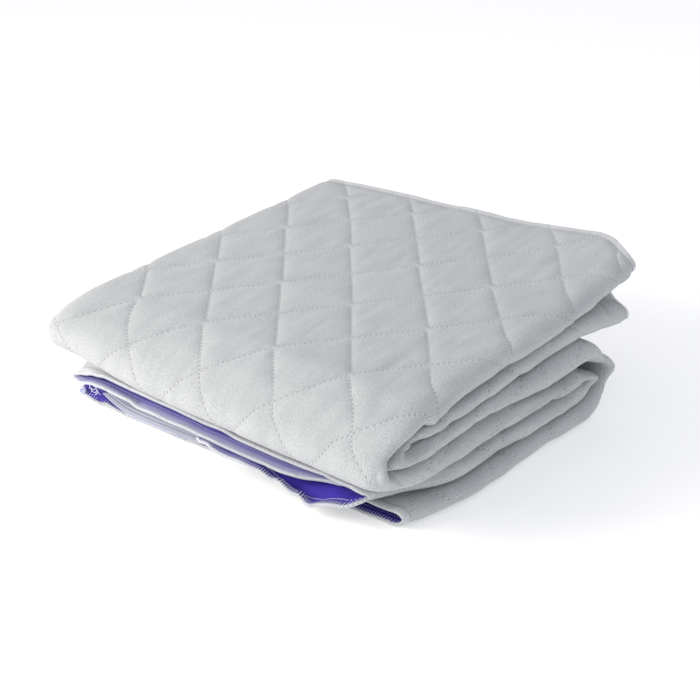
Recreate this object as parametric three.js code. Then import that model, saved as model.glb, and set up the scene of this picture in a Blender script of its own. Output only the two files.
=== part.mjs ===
// A quilted mattress protector, folded for the shelf.
// The cloth runs back and forth across the stack in five layers, and this strip is folded in thirds.
// Millimetres, +Z up. X runs along the front fold, Y runs from the front fold to the hem at the back.
import * as THREE from 'three';

// Quilting: corner to corner of one diamond, and one crossing of its lines on the top
const DIAMOND_X = 105;
const DIAMOND_Y = 125;
const CROSSING_X = 29;
const CROSSING_Y = -52;
const PUFF = 2.4;

// Cloth: distances from its middle surface, the face side positive
const FACE = 1.0;
const WADDING = -0.6;
const BACKING_INNER = -1.1;
const BACKING_OUTER = -2.0;

// Plan of the stack: its middle, sides, free edges and the lines where the thirds begin to turn
const CENTRE_X = -12.6;
const CENTRE_Y = 0.1;
const LEFT = -250;
const RIGHT = 233;
const FLAP_EDGE = 186;
const TUCK = -40;
const LOWER_EDGE = -262;
const BACK_HEM = 252;
const FRONT_TURN = -177;
const BACK_TURN = 104;
const FRONT_HEM = -212;

// Turns between the thirds, by a layer's levels from the middle of the turn: its reach at the front and
// at the back, and how much it noses up at the back
const TURNS = [
  { level: 0.5, front: 35, back: 32, nose: -0.5 },
  { level: 1.5, front: 56.5, back: 48, nose: -0.65 },
  { level: 2.5, front: 67.5, back: 59, nose: -0.65 },
  { level: 3.5, front: 74, back: 69, nose: 0 },
  { level: 4.5, front: 80.5, back: 80.5, nose: 0 },
];

// The front turn noses up at the left side and down further in; a nose adds to the reach by its square
const NOSE = { left: 0.12, right: -0.33 };
const NOSE_X = { left: -250, right: -70 };
const NOSE_REACH = 0.42;

// The back hem lies askew, and its right corner falls short of it
const HEM_SKEW = 0.06;
const HEM_CORNER = 54;
const HEM_CORNER_FROM = 125;
const HEM_EASE = 130;

// Height of the top layer: at the middle, its slopes, and the lift of the back right corner
const TOP_HEIGHT = 151;
const TOP_SLOPE_X = -0.02;
const TOP_SLOPE_Y = 0.091;
const CORNER_LIFT = 14;

// Layers of the strip in the order in which the cloth runs, from the flap's free edge.
// level: place in the strip, 0 lowest; from, to: ends in X; every: quilting lines per mesh line;
// end: how far its front hem lies from FRONT_HEM; curled: more mesh lines where its corner curls
const LAYERS = [
  { level: 3, from: FLAP_EDGE, to: LEFT, every: 1, end: -18 },
  { level: 4, from: LEFT, to: RIGHT, every: 1, end: -9 },
  { level: 2, from: RIGHT, to: TUCK, every: 1, end: -26 },
  { level: 1, from: TUCK, to: RIGHT, every: 2, end: 12 },
  { level: 0, from: RIGHT, to: LOWER_EDGE, every: 1, end: 8, curled: [-190, -212, -235] },
];
const TOP_LEVEL = 4;

// Thirds of the strip, from the back hem: the stack level of the strip's lowest layer and its sense
const THIRDS = [
  { base: 10, sense: 1, from: BACK_HEM, to: FRONT_TURN, every: 1 },
  { base: 9, sense: -1, from: FRONT_TURN, to: BACK_TURN, every: 2 },
  { base: 0, sense: 1, from: BACK_TURN, to: FRONT_HEM, every: 1 },
];
const STACK_LEVELS = 14;
const BETWEEN_THIRDS = 0.5;
const LINES_PER_TURN = 3;

// Share of the height that lies under a stack level: at the left side, at the right side towards the
// front, at the right side further back and at the back right corner, where the top third opens
const SHARES = [
  { level: 0, left: 0, front: 0, right: 0, corner: 0 },
  { level: 1.5, left: 0.15, front: 0.16, right: 0.155, corner: 0.13 },
  { level: 3, left: 0.33, front: 0.235, right: 0.23, corner: 0.2 },
  { level: 4.5, left: 0.42, front: 0.312, right: 0.3, corner: 0.26 },
  { level: 7.5, left: 0.63, front: 0.565, right: 0.43, corner: 0.36 },
  { level: 9, left: 0.74, front: 0.672, right: 0.637, corner: 0.455 },
  { level: 10, left: 0.805, front: 0.733, right: 0.703, corner: 0.515 },
  { level: 11, left: 0.865, front: 0.79, right: 0.805, corner: 0.62 },
  { level: 12, left: 0.905, front: 0.865, right: 0.885, corner: 0.84 },
  { level: STACK_LEVELS, left: 1, front: 1, right: 1, corner: 1 },
];
const FRONT_SIDE_Y = { full: -90, none: 70 };
const CORNER_FROM_X = 60;
const CORNER_FROM_Y = 100;

// How far the right side's folds stand out, by stack level, and their waves along Y
const STAND_OUT = [
  { level: 0, out: -1 },
  { level: 3, out: -6 },
  { level: 6, out: -4 },
  { level: 8.5, out: 1 },
  { level: 10.5, out: -6 },
  { level: 13, out: -2 },
  { level: STACK_LEVELS, out: -3 },
];
const WAVE = -2.5;
const WAVE_LENGTH = 250;
const WAVE_PER_LEVEL = 1.3;

// The flap's front hem draws back towards its free edge
const FLAP_SLIP = 14;
const FLAP_SLIP_X = { none: 100, full: 186 };

// The flap's hem droops and the hem above it half as far; the front turn's underside stands clear of them
const FLAP_DROOP = 6;
const FLAP_DROOP_Y = { none: -185, full: -230 };
const FLAP_DROOP_LEVELS = { none: 2, full: 3, gone: 5 };
const FRONT_RISE = { left: 11, right: 3.5 };
const FRONT_RISE_Y = { none: -190, full: -245 };
const FRONT_RISE_LEVELS = { none: 4, full: 5, gone: 10 };

// The second layer's hem slips forward and sags to the floor beside the front corner
const SAG_X = 142;
const SAG_WIDTH = 50;
const SAG_REACH = 5;
const SAG_START = -206;
const SAG_RUN = 24;
const SAG_DROP = 0.72;
const SAG_LEVELS = { full: 2.1, none: 3.1 };

// The lower layer's front left corner curls up: its height, and where the curl begins and is full
const CURL = 16;
const CURL_X = { none: -150, full: -275 };
const CURL_Y = { none: -110, full: -205 };
const CURL_LEVELS = 2;

// The folds of the last third draw in beside the front corner, the lowest one least
const DRAW_IN = 44;
const DRAW_IN_LOWEST = 0.28;
const DRAW_IN_Y = { none: -110, full: -225 };
const DRAW_IN_LEVELS = { lowest: 1, full: 2, last: 4, gone: 5 };

// Elastic strap on the lower layer's front left corner: edges in plan
const STRAP_GAP = 1.2;
const STRAP_THICK = 1.6;
const STRAP_STEPS = 3;
const STRAP_FRONT = [[-234, -198], [-180, -206], [-120, -207], [-60, -206], [-30, -203]];
const STRAP_BACK = [[-34, -186], [-60, -182], [-120, -181], [-180, -182], [-228, -184]];

const FOLD_STEPS = 6;
const TURN_STEPS = 8;
const FOLD_DEPTH = 8;
const FOLD_DEPTH_PER_LEVEL = 7;
const LEVEL_PITCH = 10;
const NEAREST_LINE = 12;
const FLOOR_PRESS = 8;
const ON_FLOOR = 0.05;
const TIGHT_TURN = 3.5;

const clamp = THREE.MathUtils.clamp;
const lerp = THREE.MathUtils.lerp;
const smooth = THREE.MathUtils.smoothstep;

// Value of a column of a table at a level, straight between its rows
function tableAt(table, level, column) {
  let row = 1;
  while (row < table.length - 1 && table[row].level < level) {
    row += 1;
  }
  const below = table[row - 1];
  const above = table[row];
  const part = clamp((level - below.level) / (above.level - below.level), 0, 1);
  return lerp(below[column], above[column], part);
}

// Positions between two ends that fall on every so many quilting lines, clear of both ends
function quiltingLines(start, end, phase, pitch, every) {
  const way = Math.sign(end - start);
  const spacing = pitch * every;
  const room = Math.abs(end - start) - NEAREST_LINE;
  const offset = ((phase - start) * way) % spacing;
  const lines = [];
  for (let run = (offset + spacing) % spacing; run < room; run += spacing) {
    if (run > NEAREST_LINE) {
      lines.push(start + run * way);
    }
  }
  return lines;
}

// Columns: the cloth's course across the strip, with the quilting coordinate m counted along it
function makeColumns() {
  const half = DIAMOND_X / 2;
  const columns = [];
  let m = (CROSSING_X - LAYERS[1].from) / half;
  m = -m - (LAYERS[0].from - LAYERS[0].to) / half;
  LAYERS.forEach((layer, i) => {
    const way = Math.sign(layer.to - layer.from);
    const previous = LAYERS[i - 1];
    const next = LAYERS[i + 1];
    const depthOf = (other) => (other
      ? FOLD_DEPTH + FOLD_DEPTH_PER_LEVEL * Math.abs(other.level - layer.level) : 0);
    const start = layer.from + way * depthOf(previous);
    const end = layer.to - way * depthOf(next);
    const origin = m;
    const crossing = start - way * origin * half;
    const lines = quiltingLines(start, end, crossing, half, layer.every);
    const inner = lines.concat(layer.curled ?? []).sort((p, q) => (p - q) * way);
    const runs = [start, ...inner, end];
    runs.forEach((x) => {
      columns.push({
        x,
        level: layer.level,
        end: layer.end,
        m: origin + Math.abs(x - start) / half,
        puff: 1,
      });
    });
    m = origin + Math.abs(end - start) / half;
    if (!next) {
      return;
    }
    const depth = depthOf(next);
    const arc = Math.PI * (depth + LEVEL_PITCH * Math.abs(next.level - layer.level) / 2) / 2;
    const faceOutside = Math.sign(next.level - layer.level) === -way;
    for (let step = 1; step < FOLD_STEPS; step += 1) {
      const turn = Math.PI * step / FOLD_STEPS;
      columns.push({
        x: end + way * depth * Math.sin(turn),
        level: lerp(layer.level, next.level, (1 - Math.cos(turn)) / 2),
        end: lerp(layer.end, next.end, step / FOLD_STEPS),
        m: m + arc * step / FOLD_STEPS / half,
        puff: faceOutside ? 1 : 0,
      });
    }
    m += arc / half;
  });
  return columns;
}

// Rows: the strip's course through the thirds; a row lies on a third or on the turn after it
function makeRows() {
  const half = DIAMOND_Y / 2;
  const rows = [];
  let phase = CROSSING_Y;
  THIRDS.forEach((third, i) => {
    const inner = quiltingLines(third.from, third.to, phase, half, third.every);
    [third.from, ...inner, third.to].forEach((y) => rows.push({ third: i, y, turn: 0 }));
    phase = third.to;
    if (i === THIRDS.length - 1) {
      return;
    }
    for (let step = 1; step < TURN_STEPS; step += 1) {
      rows.push({ third: i, y: third.to, turn: Math.PI * step / TURN_STEPS });
    }
  });
  return rows;
}

// Quilting lines that a level passes on the first turn; on the second turn it passes the rest
function linesOnTurn(turnIndex, level) {
  const first = LINES_PER_TURN * level / TOP_LEVEL;
  return turnIndex === 0 ? first : LINES_PER_TURN - first;
}

// Quilting coordinate n of a point, counted along the strip from the crossing on the top
function alongQuilting(row, y, level) {
  const half = DIAMOND_Y / 2;
  let n = 0;
  for (let i = 0; i < row.third; i += 1) {
    const from = i === 0 ? CROSSING_Y : THIRDS[i].from;
    n -= Math.abs(THIRDS[i].to - from) / half + linesOnTurn(i, level);
  }
  const start = row.third === 0 ? CROSSING_Y : THIRDS[row.third].from;
  n -= (row.third === 0 ? start - y : Math.abs(y - start)) / half;
  return n - linesOnTurn(row.third, level) * row.turn / Math.PI;
}

// How close a place along X is to the sag, from 0 to 1
function sagAt(x) {
  return Math.exp(-(((x - SAG_X) / SAG_WIDTH) ** 2));
}

// How much the front turn noses up at a place along X
function noseAt(x) {
  return lerp(NOSE.left, NOSE.right, smooth(x, NOSE_X.left, NOSE_X.right));
}

// Place of the back hem along X
function backHem(x) {
  return BACK_HEM + HEM_SKEW * x - HEM_CORNER * smooth(x, HEM_CORNER_FROM, RIGHT) ** 2;
}

// Middle of the cloth in the even stack: x, y and stack level, and how tight its turn is
function evenPlace(column, row) {
  const third = THIRDS[row.third];
  const level = third.base + third.sense * column.level;
  if (row.turn > 0) {
    const lowest = third.sense > 0 ? third.base : third.base - TOP_LEVEL;
    const middle = lowest - BETWEEN_THIRDS;
    const radius = Math.abs(level - middle);
    const front = row.third === 0;
    const nose = front ? noseAt(column.x) : tableAt(TURNS, radius, 'nose');
    const bulge = Math.sin(row.turn) * (1 + nose * Math.cos(row.turn)) / (1 + NOSE_REACH * nose ** 2);
    const reach = tableAt(TURNS, radius, front ? 'front' : 'back') * bulge;
    const y = row.y + Math.sign(third.to - third.from) * reach;
    return { x: column.x, y, level: middle + (level - middle) * Math.cos(row.turn), radius };
  }
  let y = row.y;
  if (row.third === 0 && y > HEM_EASE) {
    y = HEM_EASE + (backHem(column.x) - HEM_EASE) * (y - HEM_EASE) / (BACK_HEM - HEM_EASE);
  }
  if (row.third === THIRDS.length - 1) {
    const second = 1 - Math.min(1, Math.abs(column.level - LAYERS[2].level));
    const flap = 1 - Math.min(1, Math.abs(column.level - LAYERS[0].level));
    const slip = FLAP_SLIP * flap * smooth(column.x, FLAP_SLIP_X.none, FLAP_SLIP_X.full);
    const hem = FRONT_HEM + column.end + slip - SAG_REACH * sagAt(column.x) * second;
    y = third.from + (hem - third.from) * (row.y - third.from) / (third.to - third.from);
  }
  return { x: column.x, y, level, radius: STACK_LEVELS };
}

// The even stack pressed, leaned and slipped into its real, uneven shape
function settle({ x, y, level }) {
  const across = clamp((x - LEFT) / (RIGHT - LEFT), 0, 1);
  const corner = smooth(x, CORNER_FROM_X, RIGHT) * smooth(y, CORNER_FROM_Y, BACK_HEM);
  const left = tableAt(SHARES, level, 'left');
  const front = tableAt(SHARES, level, 'front');
  const back = tableAt(SHARES, level, 'right');
  const right = lerp(front, back, smooth(y, FRONT_SIDE_Y.full, FRONT_SIDE_Y.none));
  const side = lerp(left, right, smooth(across, 0, 1));
  const share = lerp(side, tableAt(SHARES, level, 'corner'), corner);
  const lift = CORNER_LIFT * corner;
  const height = TOP_HEIGHT + TOP_SLOPE_X * x + TOP_SLOPE_Y * y + lift - FACE;
  const low = 1 - smooth(level, SAG_LEVELS.full, SAG_LEVELS.none);
  const sag = SAG_DROP * sagAt(x) * smooth(SAG_START - y, 0, SAG_RUN) * low;
  const wave = WAVE * Math.sin(2 * Math.PI * y / WAVE_LENGTH + WAVE_PER_LEVEL * level);
  const drawn = lerp(DRAW_IN_LOWEST, 1, smooth(level, DRAW_IN_LEVELS.lowest, DRAW_IN_LEVELS.full))
    - smooth(level, DRAW_IN_LEVELS.last, DRAW_IN_LEVELS.gone);
  const drawIn = DRAW_IN * drawn * smooth(-y, -DRAW_IN_Y.none, -DRAW_IN_Y.full);
  const out = (tableAt(STAND_OUT, level, 'out') + wave - drawIn) * across ** 2;
  const curl = smooth(-x, -CURL_X.none, -CURL_X.full) ** 2 * smooth(-y, -CURL_Y.none, -CURL_Y.full);
  const curled = CURL * curl * (1 - smooth(level, 0, CURL_LEVELS));
  const { none, full, gone } = FLAP_DROOP_LEVELS;
  const flap = smooth(level, none, full) * clamp((gone - level) / (gone - full), 0, 1);
  const free = 1 - smooth(x, FLAP_SLIP_X.none, FLAP_SLIP_X.full);
  const droop = FLAP_DROOP * flap * free * smooth(-y, -FLAP_DROOP_Y.none, -FLAP_DROOP_Y.full);
  const under = smooth(level, FRONT_RISE_LEVELS.none, FRONT_RISE_LEVELS.full)
    - smooth(level, FRONT_RISE_LEVELS.full, FRONT_RISE_LEVELS.gone);
  const clear = lerp(FRONT_RISE.left, FRONT_RISE.right, smooth(x, NOSE_X.left, NOSE_X.right));
  const rise = clear * under * smooth(-y, -FRONT_RISE_Y.none, -FRONT_RISE_Y.full);
  const z = FACE + share * height * (1 - sag) + curled - droop + rise;
  return new THREE.Vector3(x + out, y, z);
}

// Grid of settled points with their normals, face side up, and the quilting's rise at each
function makeGrid(columns, rows) {
  const places = columns.map((column) => rows.map((row) => evenPlace(column, row)));
  const points = places.map((line) => line.map(settle));
  return points.map((line, i) => line.map((point, j) => {
    const before = points[Math.max(i - 1, 0)][j];
    const after = points[Math.min(i + 1, points.length - 1)][j];
    const nearer = line[Math.max(j - 1, 0)];
    const farther = line[Math.min(j + 1, line.length - 1)];
    const along = farther.clone().sub(nearer);
    const normal = along.cross(after.clone().sub(before)).normalize();
    const { m } = columns[i];
    const n = alongQuilting(rows[j], rows[j].y, columns[i].level);
    const rise = Math.abs(Math.sin(Math.PI * (m + n) / 2) * Math.sin(Math.PI * (m - n) / 2));
    const open = columns[i].puff * clamp(places[i][j].radius - TIGHT_TURN, 0, 1);
    const edge = i === 0 || j === 0 || i === points.length - 1 || j === line.length - 1;
    const lifted = clamp((point.z - FACE) / FLOOR_PRESS, 0, 1);
    return { point, normal, rise, puff: edge ? 0 : PUFF * rise * open * lifted };
  }));
}

// Closed sheet between two distances from the grid's points; puff is added to the upper one
function makeSheet(grid, lower, upper, puffed) {
  const last = { i: grid.length - 1, j: grid[0].length - 1 };
  const positions = [];
  grid.forEach((line) => line.forEach(({ point, normal, puff }) => {
    const top = point.clone().addScaledVector(normal, upper + (puffed ? puff : 0));
    const bottom = point.clone().addScaledVector(normal, lower);
    [top, bottom].forEach((p) => positions.push(p.x, p.y, p.z < ON_FLOOR ? 0 : p.z));
  }));
  const at = (i, j) => 2 * (i * grid[0].length + j);
  const index = [];
  for (let i = 0; i < last.i; i += 1) {
    for (let j = 0; j < last.j; j += 1) {
      const [a, b, c, d] = [at(i, j), at(i, j + 1), at(i + 1, j + 1), at(i + 1, j)];
      const straight = grid[i][j].rise + grid[i + 1][j + 1].rise;
      const crossed = grid[i][j + 1].rise + grid[i + 1][j].rise;
      const faces = straight < crossed ? [[a, b, c], [a, c, d]] : [[b, c, d], [b, d, a]];
      faces.forEach(([p, q, r]) => index.push(p, q, r, p + 1, r + 1, q + 1));
    }
  }
  const rim = [];
  for (let j = 0; j < last.j; j += 1) {
    rim.push(at(0, j));
  }
  for (let i = 0; i < last.i; i += 1) {
    rim.push(at(i, last.j));
  }
  for (let j = last.j; j > 0; j -= 1) {
    rim.push(at(last.i, j));
  }
  for (let i = last.i; i > 0; i -= 1) {
    rim.push(at(i, 0));
  }
  rim.forEach((p, k) => {
    const q = rim[(k + 1) % rim.length];
    index.push(q, p, p + 1, q, p + 1, q + 1);
  });
  const geometry = new THREE.BufferGeometry();
  geometry.setAttribute('position', new THREE.Float32BufferAttribute(positions, 3));
  geometry.setIndex(index);
  geometry.computeVertexNormals();
  return geometry;
}

// Flat band between its front and back edges, lying on the backing of the lower layer
function makeStrap() {
  const outline = new THREE.Shape();
  outline.moveTo(...STRAP_FRONT[0]);
  outline.splineThru(STRAP_FRONT.slice(1).map(([x, y]) => new THREE.Vector2(x, y)));
  outline.lineTo(...STRAP_BACK[0]);
  outline.splineThru(STRAP_BACK.slice(1).map(([x, y]) => new THREE.Vector2(x, y)));
  outline.closePath();
  const band = new THREE.ExtrudeGeometry(outline, {
    depth: STRAP_THICK,
    bevelEnabled: false,
    curveSegments: STRAP_STEPS,
  });
  const { position } = band.attributes;
  for (let i = 0; i < position.count; i += 1) {
    const lower = settle({ x: position.getX(i), y: position.getY(i), level: 0 });
    position.setZ(i, position.getZ(i) + lower.z - BACKING_OUTER + STRAP_GAP);
  }
  return band;
}

const KNIT = { color: 0xc3c6cd, roughness: 0.9 };
const WEAVE = { color: 0x3d2ba6, roughness: 0.8 };
const ELASTIC = { color: 0xe9e6f2, roughness: 0.85 };

function addMesh(group, name, geometry, look) {
  const mesh = new THREE.Mesh(geometry, new THREE.MeshStandardMaterial(look));
  mesh.name = name;
  group.add(mesh);
}

const protector = new THREE.Group();
protector.position.set(-CENTRE_X, -CENTRE_Y, 0);
const grid = makeGrid(makeColumns(), makeRows());
addMesh(protector, 'quilted_face', makeSheet(grid, WADDING, FACE, true), KNIT);
addMesh(protector, 'backing', makeSheet(grid, BACKING_OUTER, BACKING_INNER, false), WEAVE);
addMesh(protector, 'corner_strap', makeStrap(), ELASTIC);

export default protector;
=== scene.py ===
"""Looks of a quilted mattress protector, folded for the shelf: cloth, sewing, elastic and stage."""

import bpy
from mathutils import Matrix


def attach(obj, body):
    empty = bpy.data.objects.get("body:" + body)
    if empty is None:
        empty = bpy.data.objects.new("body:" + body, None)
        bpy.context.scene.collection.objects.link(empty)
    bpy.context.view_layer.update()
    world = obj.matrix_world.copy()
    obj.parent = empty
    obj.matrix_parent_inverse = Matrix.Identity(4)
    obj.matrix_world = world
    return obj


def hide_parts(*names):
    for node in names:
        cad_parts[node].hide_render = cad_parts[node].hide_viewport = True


bl_info = {
    "name": "Folded mattress protector",
    "version": (1, 0, 0),
    "blender": (4, 5, 0),
    "location": "View3D > Sidebar > Protector",
    "description": "Quilted cloth, sewing and corner elastic of a mattress protector folded for the shelf",
    "category": "Add Mesh",
}

import math

import bpy
import numpy as np

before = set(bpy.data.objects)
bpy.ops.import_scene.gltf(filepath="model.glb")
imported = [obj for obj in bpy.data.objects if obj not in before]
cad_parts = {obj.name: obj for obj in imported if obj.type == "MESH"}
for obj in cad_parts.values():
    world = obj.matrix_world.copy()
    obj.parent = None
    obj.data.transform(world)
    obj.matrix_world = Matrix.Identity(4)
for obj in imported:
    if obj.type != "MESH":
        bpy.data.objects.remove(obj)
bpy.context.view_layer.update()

# Plan and heights of the folded stack in millimetres, the same values as the solids have
CROSSING_X, CROSSING_Y = 29, -52
CENTRE = np.array([-12.6, 0.1, 0])
FACE, BACKING = 1.0, -2.0
LEFT, RIGHT, FLAP_EDGE, TUCK, LOWER_EDGE = -250, 233, 186, -40, -262
BACK_HEM, FRONT_TURN, BACK_TURN, FRONT_HEM = 252, -177, 104, -212
TIGHT_TURN = 3.5
NOSE, NOSE_X, NOSE_REACH = (0.12, -0.33), (-250, -70), 0.42
HEM_SKEW, HEM_CORNER, HEM_CORNER_FROM, HEM_EASE = 0.06, 54, 125, 130
TOP_HEIGHT, TOP_SLOPE_X, TOP_SLOPE_Y, CORNER_LIFT = 151, -0.02, 0.091, 14
CORNER_FROM_X, CORNER_FROM_Y = 60, 100
WAVE, WAVE_LENGTH, WAVE_PER_LEVEL = -2.5, 250, 1.3
SAG_X, SAG_WIDTH, SAG_REACH, SAG_START, SAG_RUN, SAG_DROP = 142, 50, 5, -206, 24, 0.72
SAG_FULL, SAG_NONE = 2.1, 3.1
FLAP_SLIP, FLAP_SLIP_X, FLAP_DROOP, FLAP_DROOP_Y = 14, (100, 186), 6, (185, 230)
FRONT_RISE, FRONT_RISE_Y, FRONT_RISE_LEVELS = (11, 3.5), (190, 245), (4, 5, 10)
CURL, CURL_X, CURL_Y, CURL_LEVELS = 16, (150, 275), (110, 205), 2
DRAW_IN, DRAW_IN_LOWEST, DRAW_IN_Y, DRAW_IN_FROM, DRAW_IN_TO = 44, 0.28, (110, 225), (1, 2), (4, 5)
FOLD_DEPTH, FOLD_DEPTH_PER_LEVEL, LEVEL_PITCH = 8, 7, 10
FLOOR_PRESS = 8
TOP_LEVEL, STACK_LEVELS, LINES_PER_TURN = 4, 14, 3

# Layers of the strip from the flap's free edge: place in the strip, ends in X, how far the front
# hem lies from FRONT_HEM, and mesh lines for each half diamond
LAYERS = [
    {"level": 3, "from": FLAP_EDGE, "to": LEFT, "end": -18, "mesh": 7},
    {"level": 4, "from": LEFT, "to": RIGHT, "end": -9, "mesh": 14},
    {"level": 2, "from": RIGHT, "to": TUCK, "end": -26, "mesh": 7},
    {"level": 1, "from": TUCK, "to": RIGHT, "end": 12, "mesh": 4},
    {"level": 0, "from": RIGHT, "to": LOWER_EDGE, "end": 8, "mesh": 7},
]
# Thirds of the strip from the back hem: stack level of the strip's lowest layer, its sense and ends in Y
THIRDS = [
    {"base": 10, "sense": 1, "from": BACK_HEM, "to": FRONT_TURN},
    {"base": 9, "sense": -1, "from": FRONT_TURN, "to": BACK_TURN},
    {"base": 0, "sense": 1, "from": BACK_TURN, "to": FRONT_HEM},
]
# Turns between the thirds, by a layer's levels from the middle of the turn: reach at the front and at
# the back, and how much it noses up at the back
TURNS = {
    "level": (0.5, 1.5, 2.5, 3.5, 4.5),
    "front": (35, 56.5, 67.5, 74, 80.5),
    "back": (32, 48, 59, 69, 80.5),
    "nose": (-0.5, -0.65, -0.65, 0, 0),
}
# Mesh lines for each half diamond on the second third, its turn and the last third
LOWER_MESH = (7, 7, 8)
# Share of the height under a stack level: at the left side, the right side towards the front and further
# back, and the back right corner
SHARES = {
    "level": (0, 1.5, 3, 4.5, 7.5, 9, 10, 11, 12, 14),
    "left": (0, 0.15, 0.33, 0.42, 0.63, 0.74, 0.805, 0.865, 0.905, 1),
    "front": (0, 0.16, 0.235, 0.312, 0.565, 0.672, 0.733, 0.79, 0.865, 1),
    "right": (0, 0.155, 0.23, 0.3, 0.43, 0.637, 0.703, 0.805, 0.885, 1),
    "corner": (0, 0.13, 0.2, 0.26, 0.36, 0.455, 0.515, 0.62, 0.84, 1),
}
FRONT_SIDE_Y = (-90, 70)
# How far the right side's folds stand out, by stack level
STAND_OUT = {"level": (0, 3, 6, 8.5, 10.5, 13, 14), "out": (-1, -6, -4, 1, -6, -2, -3)}
# Edges of the elastic strap in plan, from its left end
STRAP_FRONT = [(-234, -198), (-180, -206), (-120, -207), (-60, -204), (-30, -191)]
STRAP_BACK = [(-228, -184), (-180, -182), (-120, -181), (-60, -182), (-34, -186)]
STRAP_GAP, STRAP_THICK = 1.2, 1.6
# Length and width of the strap in metres, its mesh lines that way, and the height and number of its cords
STRAP_LENGTH, STRAP_WIDTH, STRAP_STEPS, STRAP_RIBS, CORD_HEIGHT, CORDS = 0.2, 0.024, 120, 36, 0.5, 4
# The strap's sewn end, rolled into a small coil: its middle, how far it runs back, its radius at the outer
# and the inner end, its turns and the radius of the roll
COIL_PLACE, COIL_RUN, COIL_REACH, COIL_TURNS, COIL_ROLL = (-258, -208, 15), 2, (4.6, 2.0), 1.4, 2.0
# Loose thread ends there: place in the plan, height over the cloth, and radius and turns of the curl
THREAD_ENDS = [
    (-252, -205, 5, 2.6, 1.3),
    (-246, -207, 5, 2.6, 1.6),
    (-240, -206, 5, 3.0, 0.9),
    (-250, -200, 7, 2.5, 1.2),
]
# How far a loose end runs in X and Y, and its points
THREAD_END_RUN, THREAD_END_POINTS = (9, 4), 12

# The wadding fills the folds out by this loft: all along the outer layer, and the others towards the right
# side. It ends below the top, which has a fullness of its own
LOFT, LOFT_X, LOFT_LEVELS = 2.0, (0, 180), (12.5, 13.5)
# How far from its lines a diamond has risen, its fullness inside the stack, the levels over which it gets
# full, and the distance from an edge over which it begins
PUFF_RUN, PUFF_INSIDE, PUFF_LEVELS, PUFF_EDGE = 6, 0.42, (11.5, 13.9), (9, 22)
# Wrinkles inside the diamonds: height, size across and along the strip, and seed
WRINKLES = [(0.35, 13, 62, 3), (0.12, 6, 30, 4)]
# Half height of the outer layer's turns, which sets how evenly the quilting runs round them
ROLL_HEIGHT = 40
# Every hem is a little wavy, and so are the right side's folds
HEM_WAVE, HEM_WAVE_EDGE, HEM_WAVE_LENGTH, HEM_WAVE_LEVELS, HEM_WAVE_SEED = 1.0, 30, 28, 3, 6
SIDE_WAVE, SIDE_WAVE_X, SIDE_WAVE_LENGTH, SIDE_WAVE_LEVELS, SIDE_WAVE_SEED = 1.6, (140, 225), 24, 1.3, 9
# Height of the middle of a rounded hem, where its ridge and its thickening end, the groove that the seam
# pulls in beside it, and the angles of its mesh lines in degrees from the face
HEM_MIDDLE, HEM_RIDGE, HEM_THICKENING = -0.5, (6.5, 9), 11
GROOVE, GROOVE_PLACE, GROOVE_WIDTH = 0.5, 9.5, 1.4
HEM_RINGS = (40, 80, 120, 160, 195)
# Share of sewing thread over the face beside a hem, where it ends, and on the rounded hem of lower and upper
# layers
HEM_THREAD, HEM_THREAD_EDGE, RIM_LOW, RIM_HIGH, RIM_LEVELS = 0.35, (5, 8), 0.15, 0.4, (1.2, 1.8)
# Share of loose fibres over the backing beside a hem, how much more the flap has, and a wider band over which
# the flap is paler towards its hem
FIBRES, FLAP_FIBRES, FIBRES_EDGE, FLAP_BAND, FLAP_BAND_EDGE = 0.06, 0.45, (2, 11), 0.3, (7, 22)
# Quilting stitches are sewn where they show: on the top from this level, on the turns of the outer layers,
# towards the sides, and clear of the edges and the floor
STITCH_TOP, STITCH_TURNS, STITCH_RIGHT, STITCH_LEFT = 13.4, 3.4, RIGHT - 40, LEFT + 20
STITCH_EDGE, STITCH_FLOOR, STITCH_OPEN, STITCH_BANDS = 8, 3, 0.5, (-13, 3)
# Heights of a stitch's points over the face, and half its length as a share of the pitch: quilting, then the
# seam along the back hem
QUILTING_RISE, QUILTING_HALF = (-0.8, 0.0, 0.15, 0.0, -0.8), 0.42
SEAM_RISE, SEAM_HALF = (-0.6, 0.05, 0.2, 0.05, -0.6), 0.4
# The sagging hem has the heaviest overlock. As shares of it, its own seam, and the overlock and the seam of
# the other hems
SAG_SEAM, OTHER_LOOP, OTHER_SEAM = 0.75, 0.6, 0.4
# How thin a thread is at its ends, and a direction that no thread follows
THREAD_TAPER, THREAD_SIDE = 0.45, (0.31, 0.52, 0.79)

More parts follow.
